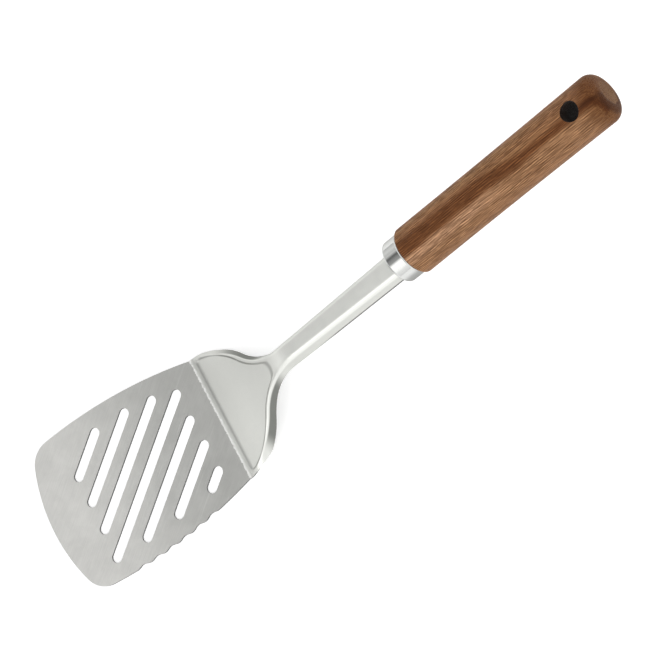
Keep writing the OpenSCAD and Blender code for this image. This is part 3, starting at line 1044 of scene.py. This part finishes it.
wood = {  # along runs from the front of the wood, side away from the serrated edge, and up square to both
    "layerAngle": radians(-40),  # the growth layers lie square to this direction round the axis
    "drift": 0.04,  # how far the grain leans round the handle, along it
    "tones": {
        "dark": (112, 69, 38),
        "middle": (147, 103, 70),
        "warm": (160, 118, 80),
        "pale": (178, 136, 103),
        "farPale": (157, 116, 82),  # towards the butt and away from the streak
        "pore": (66, 36, 18),
        # painted shade inside the hanging hole
        "bore": (33, 17, 5),
    },
    # depth is measured along the layer angle, and across is square to it
    "wanderNoise": ((0.02, 0.12, 0.12), 2.0),
    "wander": 1.0,
    "featherNoise": ((0.06, 1.5, 1.5), 3.0, 0.65),
    "feather": 0.55,
    "paleFeather": 0.4,  # as a share of it
    "streakLower": (46.0, 84.0, 7.2, 9.4),  # depths of the dark streak's sides, by along
    "streakUpper": (40.0, 110.0, 10.8, 11.0),
    "lowerMask": (-1.7, 0.9),  # by depth from those sides
    "upperMask": (0.6, -0.4),
    "streakMask": (-4.5, -2.0),
    "bandNoise": ((0.012, 0.10, 0.42), 3.0, 0.6),
    "bandMask": (0.3, 0.7),
    "paleMask": (-0.6, 0.6),  # by depth from the streak's upper side
    "paleSide": (-2.0, -4.0),
    "paleLight": (-8.0, -3.0, 0.45, 1.0),
    "farAlong": (38.0, 66.0),
    "farAcross": (1.0, -3.0),
    "fibreNoise": ((0.22, 2.6, 2.6), 3.0, 0.7),
    "fibreShare": 0.20,
    "streakNoise": ((0.05, 1.0, 1.0), 2.0),
    "streakShare": 0.06,
    "lineCount": 74,  # fine lines round the handle
    "lineShare": 0.58,
    "lineSway": 14.0,  # radians
    "swayNoise": ((0.03, 0.15, 0.15), 2.0),
    "brokenNoise": ((0.13, 0.9, 0.9), 2.0),
    "brokenMask": (0.36, 0.62),
    "lineEnd": (116.0, 106.0),
    "buttTint": (0.62, 0.52, 0.40),  # the end grain takes up more oil and is darker
    "buttMask": (104.0, 115.0),
    # painted highlight on the end face
    "endFaceHighlightTint": (1.2, 1.42, 1.65),
    "endLayerTint": (0.50, 0.43, 0.37),
    "endNoise": ((0.6, 0.35, 0.35), 3.0),
    "endUneven": 2.0,
    "endMask": (115.5, 117.0),
    "endFaceHighlightMask": (7.0, 6.5),  # by distance from the axis
    "endLayerWindow": (6.5, 7.1, 10.0, 11.8),
    "endLayerSide": (0.8, -1.2),  # by side
    "overButtSide": (-3.4, -2.2, -1.4, -0.4),  # a window where the layer runs over the butt's edge
    "overButtAlong": (107.0, 110.0),
    "overButtUp": (6.0, 9.0),
    "overButtShare": 0.8,
    "poreLength": 6.5,
    "poreSpacings": (0.42, 0.31),
    "poreMask": (0.53, 0.61),
    "poreShare": 0.50,
    "oftenNoise": ((0.03, 0.25, 0.25), 2.0),  # pores are rarer in places
    "oftenMask": (0.3, 0.55, 0.45, 1.0),
    "boreEdge": 0.06,
    "shine": {"Specular_IOR_Level": 0.12, "Sheen_Weight": 0.10, "Sheen_Roughness": 0.35},
    "roughness": (0.2, 0.55),  # what the pores add, and the least
    "fibreRoughness": 0.1,
    "fibreRelief": 0.25,  # against the pores
    "relief": 0.00006,
}


def makeWood():
    material, tree = newMaterial("oiledWalnut", **wood["shine"])
    tones = {name: fromScreen(color) for name, color in wood["tones"].items()}
    place = alongGrip(tree)
    along, side, up = place.split()
    cosine, sine = cos(wood["layerAngle"]), sin(wood["layerAngle"])
    depth = up * cosine + side * sine
    across = side * cosine - up * sine
    grain = addNode(tree, "CombineXYZ", {0: along, 1: along * wood["drift"] + across, 2: depth})

    # The dark streak is broad near the ferrule and thins to a line at the hole
    wander = grain.noise(*wood["wanderNoise"]).centred(wood["wander"])
    feather = grain.noise(*wood["featherNoise"]).centred(wood["feather"])
    layer = depth + (wander + feather)
    upperSide = along.spread(*wood["streakUpper"])
    streak = (layer - along.spread(*wood["streakLower"])).spread(*wood["lowerMask"])
    streak *= (layer - upperSide).spread(*wood["upperMask"])
    streak *= across.spread(*wood["streakMask"])

    # The wood above it is pale
    evenLayer = feather * wood["paleFeather"] + (depth + wander)
    pale = (evenLayer - upperSide).spread(*wood["paleMask"]).orMore(across.spread(*wood["paleSide"]))
    pale *= across.spread(*wood["paleLight"])
    bands = grain.noise(*wood["bandNoise"]).spread(*wood["bandMask"])
    color = bands.blend(tones["middle"], tones["warm"])
    farOff = along.spread(*wood["farAlong"]).orMore(across.spread(*wood["farAcross"]))
    color = pale.blend(color, farOff.blend(tones["pale"], tones["farPale"]))
    color = streak.blend(color, tones["dark"])

    fibres = grain.noise(*wood["fibreNoise"])
    streaks = grain.noise(*wood["streakNoise"])
    color = (fibres.around(wood["fibreShare"]) * streaks.around(wood["streakShare"])).tint(color)
    # Fine lines along the handle, side by side round its axis
    turns = side.calc("ARCTAN2", up) * wood["lineCount"]
    comb = (place.noise(*wood["swayNoise"]) * wood["lineSway"] + turns).calc("SINE")
    broken = place.noise(*wood["brokenNoise"]).spread(*wood["brokenMask"])
    comb *= broken * along.spread(*wood["lineEnd"])
    color = (comb * wood["lineShare"] + 1.0).tint(color)

    # A painted highlight makes the end face pale, and a dark layer runs over the butt and down beside it
    color = along.spread(*wood["buttMask"]).stain(color, wood["buttTint"])
    fromAxis = place.noise(*wood["endNoise"]) * wood["endUneven"] + side.hypot(up)
    atEnd = along.spread(*wood["endMask"])
    endFaceHighlight = atEnd * fromAxis.spread(*wood["endFaceHighlightMask"])
    endLayer = atEnd * fromAxis.window(*wood["endLayerWindow"]) * side.spread(*wood["endLayerSide"])
    overButt = side.window(*wood["overButtSide"]) * along.spread(*wood["overButtAlong"])
    overButt *= up.spread(*wood["overButtUp"])
    color = endFaceHighlight.stain(color, wood["endFaceHighlightTint"])
    color = endLayer.orMore(overButt * wood["overButtShare"]).stain(color, wood["endLayerTint"])

    length = 1 / wood["poreLength"]
    coarse, fine = [grain.noise((length, 1 / width, 1 / width), 0.0).spread(*wood["poreMask"])
                    for width in wood["poreSpacings"]]
    pores = coarse.orMore(fine) * grain.noise(*wood["oftenNoise"]).spread(*wood["oftenMask"])
    color = (pores * wood["poreShare"]).blend(color, tones["pore"])

    # Painted shade: the hanging hole is darkened inside
    holeAt, holeRadius = 1000 * handle["holeAt"], 1000 * handle["holeRadius"]
    paintedHoleShade = (along - holeAt).hypot(side).spread(holeRadius + wood["boreEdge"], holeRadius)
    color = paintedHoleShade.blend(color, tones["bore"])

    rough = pores.over(*wood["roughness"]) + fibres * wood["fibreRoughness"]
    return finishMaterial(material, color, rough, fibres * wood["fibreRelief"] - pores, wood["relief"])


for slot, material in enumerate((makeBrushedSheet(), makeCutEdge())):
    pressedSheet.data.materials[slot] = material
wear(ferruleCup, makePolishedFerrule())
wear(woodHandle, makeWood())
wear(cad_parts["tang_rod"], makeRod())
wear(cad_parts["tang_welds"], makeWeld())
wear(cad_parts["handle_adhesive"], makeResin())
print("materials made")


# Studio: world, lamp, floor and camera

studio = {
    "floorSize": 8.0,
    "floorColor": (0.84, 0.84, 0.84),
    "floorRoughness": 0.9,
    "floorGlow": 0.44,
    "level": 0.94,  # of the surroundings as a whole
    # brightness of the surroundings round the handle's axis, by degrees from straight above towards +Y
    "surroundings": ((-180, 0.6), (-150, 0.7), (-90, 1.0), (-77, 1.12), (-58, 1.3), (-50, 1.6), (-30, 1.78),
                     (-17, 1.7), (-12, 1.2), (-6, 0.5), (2, 0.44), (12, 0.32), (18, 0.2), (24, 0.25),
                     (30, 0.6), (37, 0.87), (44, 0.79), (58, 1.03), (66, 0.92), (75, 0.82), (100, 0.88),
                     (137, 1.0), (180, 0.6)),
    # and where they lie nearly in line with the blade's end of the axis
    "beyondTip": ((-180, 0.6), (-60, 0.55), (-20, 0.6), (10, 0.85), (30, 1.0), (80, 1.1), (180, 0.8)),
    "beyondTipMask": (-0.68, -0.84),  # by the sine of the angle along the axis
    # a card over the blade: windows by degrees and by that sine
    "cardAngles": (-12, -4, 30, 40),
    "cardAlong": (-0.42, -0.36, -0.20, -0.06),
    "cardLevel": 1.1,
    "lampPlace": (-0.3, 0.2, 1.6),
    "lampSize": 1.2,
    "lampPower": 2,
}


def buildWorld():
    world = bpy.data.worlds.new("studioWorld")
    world.use_nodes = True
    tree = world.node_tree
    direction = addNode(tree, "TexCoord", output="Generated")
    sine, cosine = sin(grip["rise"]), cos(grip["rise"])
    upwards, sideways, along = [
        addNode(tree, "VectorMath", {0: direction, 1: axis}, "Value", operation="DOT_PRODUCT")
        for axis in ((-sine, 0, cosine), (0, 1, 0), (cosine, 0, sine))]
    angle = sideways.calc("ARCTAN2", upwards)
    share = angle * (0.5 / pi) + 0.5
    levels = []
    for stops in (studio["surroundings"], studio["beyondTip"]):
        peak = max(value for degrees, value in stops)
        ramp = share.ramp([((degrees + 180) / 360, [value / peak] * 3) for degrees, value in stops])
        levels.append(addNode(tree, "RGBToBW", {0: ramp}) * peak)
    level = along.spread(*studio["beyondTipMask"]).choose(*levels)
    card = angle.window(*[radians(degrees) for degrees in studio["cardAngles"]])
    card *= along.window(*studio["cardAlong"])
    level = card.choose(level, studio["cardLevel"]) * studio["level"]
    background = tree.nodes["Background"].inputs
    feed(tree, background["Strength"], level)
    feed(tree, background["Color"], (1, 1, 1))
    bpy.context.scene.world = world


def buildLamp():  # a soft lamp that no surface mirrors
    data = bpy.data.lights.new("topLamp", "AREA")
    data.shape, data.size, data.energy = "DISK", studio["lampSize"], studio["lampPower"]
    lamp = bpy.data.objects.new("topLamp", data)
    lamp.location = studio["lampPlace"]
    lamp.rotation_euler = (-lamp.location).to_track_quat("-Z", "Y").to_euler()
    lamp.visible_glossy = False
    bpy.context.scene.collection.objects.link(lamp)


def buildFloor():
    deselectAll()
    bpy.ops.mesh.primitive_plane_add(size=studio["floorSize"])
    floor = namePiece("studioFloor")
    material, tree = newMaterial(
        "floorPaint", Base_Color=studio["floorColor"], Roughness=studio["floorRoughness"],
        Specular_IOR_Level=0.0, Emission_Color=(1, 1, 1))
    byCamera, byGlossy, byClear = [addNode(tree, "LightPath", output=f"Is {kind} Ray")
                                   for kind in ("Camera", "Glossy", "Transmission")]
    seen = byCamera.orMore(byGlossy).orMore(byClear)
    setSurface(material, Emission_Strength=seen * studio["floorGlow"])
    wear(floor, material)


camera = {
    "place": (0.26910, -0.26959, 0.88552),
    "right": (0.798430, -0.459954, -0.388525),
    "up": (0.532522, 0.840579, 0.099232),
    "lens": 109.09,
    "sensorWidth": 36,
    "nearest": 0.05,
    "farthest": 20,
}


def buildCamera():
    data = bpy.data.cameras.new("productCamera")
    data.lens, data.sensor_width = camera["lens"], camera["sensorWidth"]
    data.clip_start, data.clip_end = camera["nearest"], camera["farthest"]
    view = bpy.data.objects.new("productCamera", data)
    right, up = Vector(camera["right"]), Vector(camera["up"])
    turn = Matrix((right, up, right.cross(up))).transposed()
    view.matrix_world = Matrix.Translation(camera["place"]) @ turn.to_4x4()
    bpy.context.scene.collection.objects.link(view)
    bpy.context.scene.camera = view


buildWorld()
buildLamp()
buildFloor()
buildCamera()
bpy.context.scene.view_settings.view_transform = "Standard"
print("studio and camera set")
